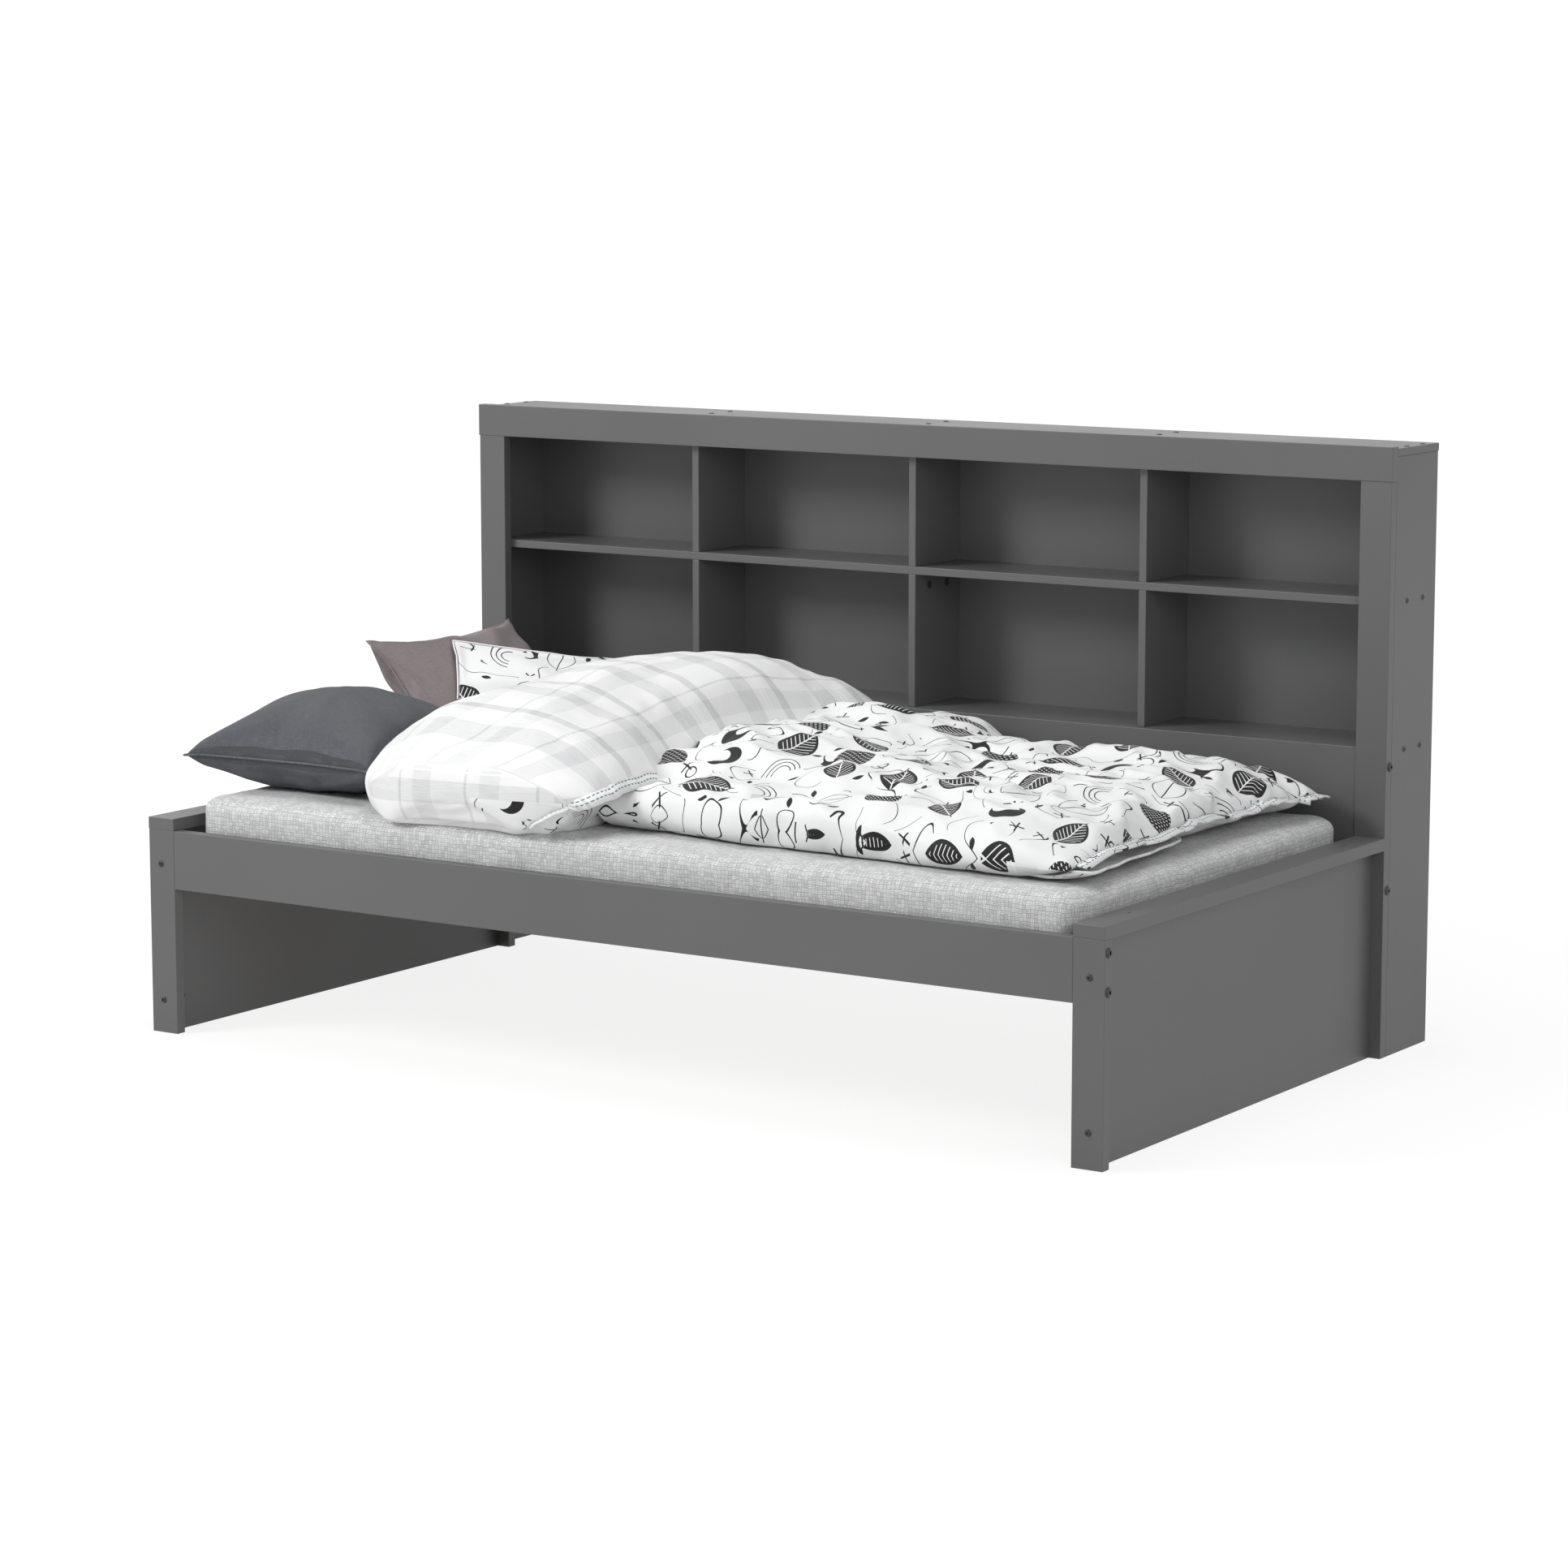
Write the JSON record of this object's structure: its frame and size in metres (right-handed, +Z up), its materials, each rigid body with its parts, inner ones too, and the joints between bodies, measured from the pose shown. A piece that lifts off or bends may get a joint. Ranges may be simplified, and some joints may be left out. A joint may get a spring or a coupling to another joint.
{
  "type": "bookcase daybed",
  "caption": "Twin daybed with a low front rail and panel ends, a bookcase with open cubbies as its back, and a mattress, a folded-back duvet and cushions.",
  "frame": {"origin": "on the floor, under the middle of the whole daybed", "axes": "+X along the bed to the right seen from the front, +Y from the front to the bookcase, +Z up"},
  "size_m": [2.067, 1.2414, 1.128],
  "materials": {
    "grey_paint": "satin",
    "plain_wood": "matte",
    "black_hardware": "satin",
    "zinc_hardware": "satin",
    "mattress_cloth": "matte",
    "duvet_cloth": "matte",
    "slate_cloth": "matte",
    "mauve_cloth": "matte",
    "print_cloth": "matte"
  },
  "bodies": {
    "frame": {"back_ledger": "plain_wood", "back_panel": "grey_paint", "back_panel_pins": "zinc_hardware", "back_stile_left": "grey_paint", "back_stile_right": "grey_paint", "barrel_nuts": "zinc_hardware", "bottom_shelf": "grey_paint", "cam_bolts": "zinc_hardware", "divider_cams": "black_hardware", "divider_screws": "black_hardware", "dowels": "plain_wood", "end_cap_left": "grey_paint", "end_cap_right": "grey_paint", "end_panel_bolts_back": "black_hardware", "end_panel_bolts_front": "black_hardware", "end_panel_left": "grey_paint", "end_panel_nuts": "zinc_hardware", "end_panel_right": "grey_paint", "front_ledger": "plain_wood", "front_post_left": "grey_paint", "front_post_right": "grey_paint", "front_rail": "grey_paint", "header": "grey_paint", "ledger_screws": "zinc_hardware", "lower_divider_centre": "grey_paint", "lower_divider_left": "grey_paint", "lower_divider_right": "grey_paint", "lower_front_panel": "grey_paint", "lower_panel_bolts": "black_hardware", "mid_shelf": "grey_paint", "rail_bolts": "black_hardware", "shelf_screws": "black_hardware", "side_panel_left": "grey_paint", "side_panel_right": "grey_paint", "slat_01": "plain_wood", "slat_02": "plain_wood", "slat_03": "plain_wood", "slat_04": "plain_wood", "slat_05": "plain_wood", "slat_06": "plain_wood", "slat_07": "plain_wood", "slat_08": "plain_wood", "slat_09": "plain_wood", "slat_10": "plain_wood", "slat_11": "plain_wood", "slat_12": "plain_wood", "slat_screws": "zinc_hardware", "top_plank": "grey_paint", "top_screws": "black_hardware", "upper_divider_centre": "grey_paint", "upper_divider_left": "grey_paint", "upper_divider_right": "grey_paint"},
    "mattress": {"mattress": "mattress_cloth"},
    "duvet": {"duvet": "duvet_cloth"},
    "slate_cushion": {"slate_cushion": "slate_cloth"},
    "mauve_cushion": {"mauve_cushion": "mauve_cloth"},
    "print_cushion": {"print_cushion": "print_cloth"}
  },
  "joints": [
    {"name": "mattress_lift", "type": "slide", "parent": "frame", "child": "mattress", "axis": [0, 0, 1], "range_m": [0, 0.25]},
    {"name": "duvet_lift", "type": "slide", "parent": "mattress", "child": "duvet", "axis": [0, 0, 1], "range_m": [0, 0.3]},
    {"name": "slate_cushion_lift", "type": "slide", "parent": "mattress", "child": "slate_cushion", "axis": [0, 0, 1], "range_m": [0, 0.3]},
    {"name": "mauve_cushion_lift", "type": "slide", "parent": "mattress", "child": "mauve_cushion", "axis": [0, 0, 1], "range_m": [0, 0.3]},
    {"name": "print_cushion_lift", "type": "slide", "parent": "mauve_cushion", "child": "print_cushion", "axis": [0, 0, 1], "range_m": [0, 0.3]}
  ]
}
